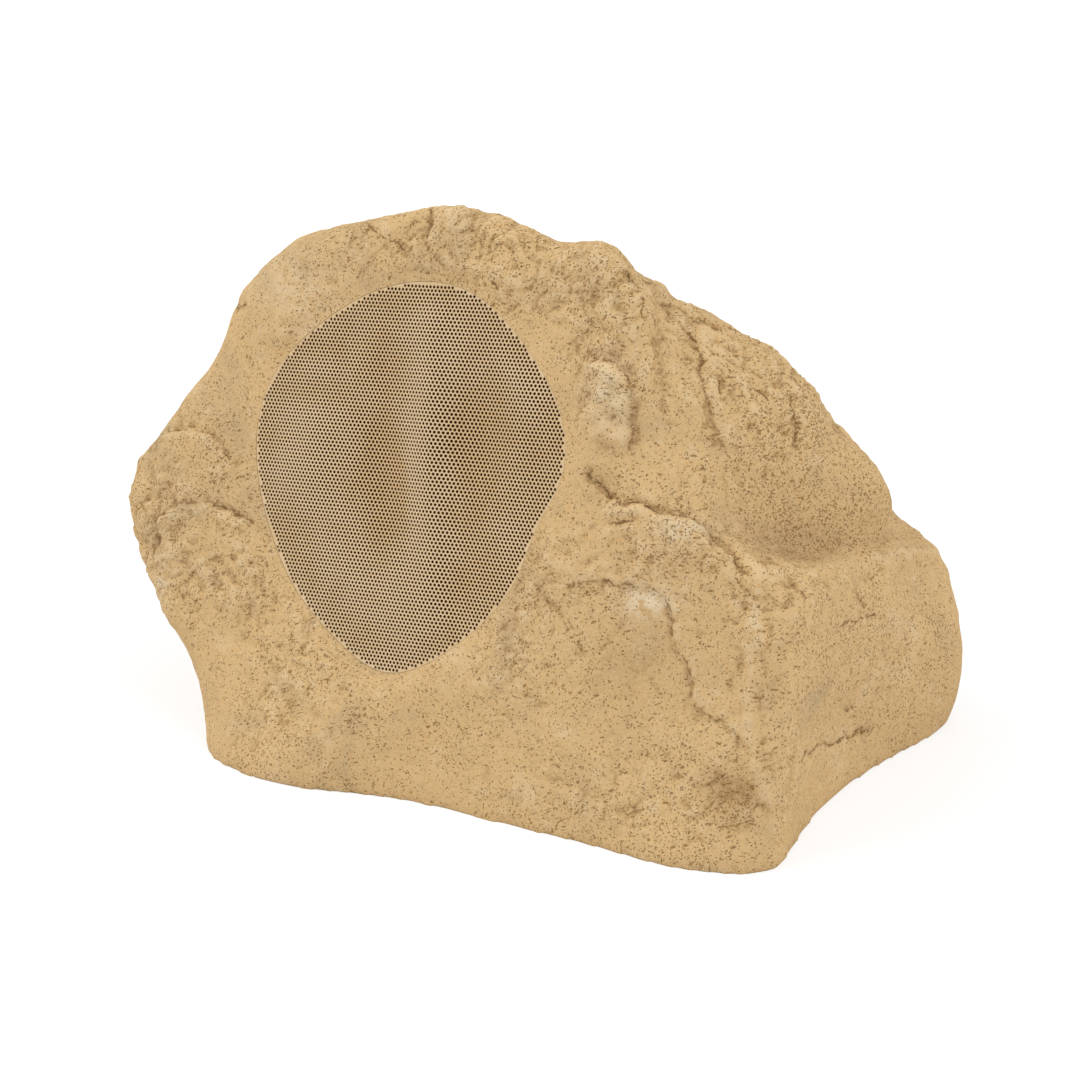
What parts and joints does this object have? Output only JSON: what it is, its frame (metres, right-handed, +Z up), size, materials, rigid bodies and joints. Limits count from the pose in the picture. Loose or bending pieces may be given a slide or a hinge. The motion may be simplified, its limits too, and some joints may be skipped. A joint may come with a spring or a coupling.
{
  "type": "rock speaker",
  "caption": "Garden loudspeaker shaped as a sandstone rock, with a perforated front grille over a coaxial driver, a flat closed base and a rear cable gland.",
  "frame": {"origin": "middle of the rock's box, on the ground plane under the base", "axes": "+Z up, the grille faces -Y and leans back, +X to the right seen from the grille's side"},
  "size_m": [0.4402, 0.3148, 0.3052],
  "materials": {
    "sandstone_coat": "sandy textured coat on moulded resin",
    "grille_paint": "matte tan paint on perforated steel",
    "scrim": "fine black cloth",
    "black_plastic": "fine grain",
    "gland_nylon": "satin",
    "black_rubber": "matte",
    "foam": "closed-cell foam",
    "zinc_steel": "zinc plated",
    "basket_paint": "satin black",
    "cone_plastic": "fine matte",
    "spider_cloth": "resin-stiffened weave",
    "former_aluminium": "plain",
    "copper": "enamelled wire",
    "ferrite": "ground",
    "strip_board": "laminate",
    "tinned_brass": "tinned",
    "dome_silk": "coated weave",
    "green_board": "solder mask",
    "can_sleeve": "heat-shrunk sleeve",
    "white_ceramic": "unglazed",
    "terminal_plastic": "satin",
    "lead_sleeve": "flexible sleeve"
  },
  "bodies": {
    "cabinet": {"rock_shell": "sandstone_coat", "base_plate": "black_plastic", "base_seal": "black_rubber", "base_screws": "zinc_steel", "gland_body": "gland_nylon", "gland_washer": "black_rubber", "gland_locknut": "gland_nylon", "gland_seal": "black_rubber", "gland_cap": "gland_nylon", "grille": "grille_paint", "grille_cloth": "scrim", "driver_gasket": "foam", "driver_screws": "zinc_steel", "basket": "basket_paint", "surround": "black_rubber", "trim_ring": "foam", "spider": "spider_cloth", "top_plate": "zinc_steel", "magnet": "ferrite", "yoke": "zinc_steel", "terminal_strip": "strip_board", "terminal_tabs": "tinned_brass", "tweeter_post": "zinc_steel", "post_nut": "zinc_steel", "tweeter_pod": "black_plastic", "tweeter_magnet": "ferrite", "tweeter_dome": "dome_silk", "tweeter_face": "black_plastic", "crossover_board": "green_board", "board_standoffs": "tinned_brass", "board_screws": "zinc_steel", "inductor": "copper", "capacitor_large": "can_sleeve", "capacitor_small": "can_sleeve", "resistor": "white_ceramic", "terminal_block": "terminal_plastic", "woofer_lead": "lead_sleeve", "tweeter_lead": "lead_sleeve"},
    "cone_assembly": {"cone": "cone_plastic", "coil_former": "former_aluminium", "voice_coil": "copper"}
  },
  "joints": [
    {"name": "cone_travel", "type": "slide", "parent": "cabinet", "child": "cone_assembly", "axis": [0, -0.9563, 0.2924], "range_m": [-0.004, 0.004], "stiffness_N_per_m": 1500, "deforming": ["surround", "spider"]}
  ]
}
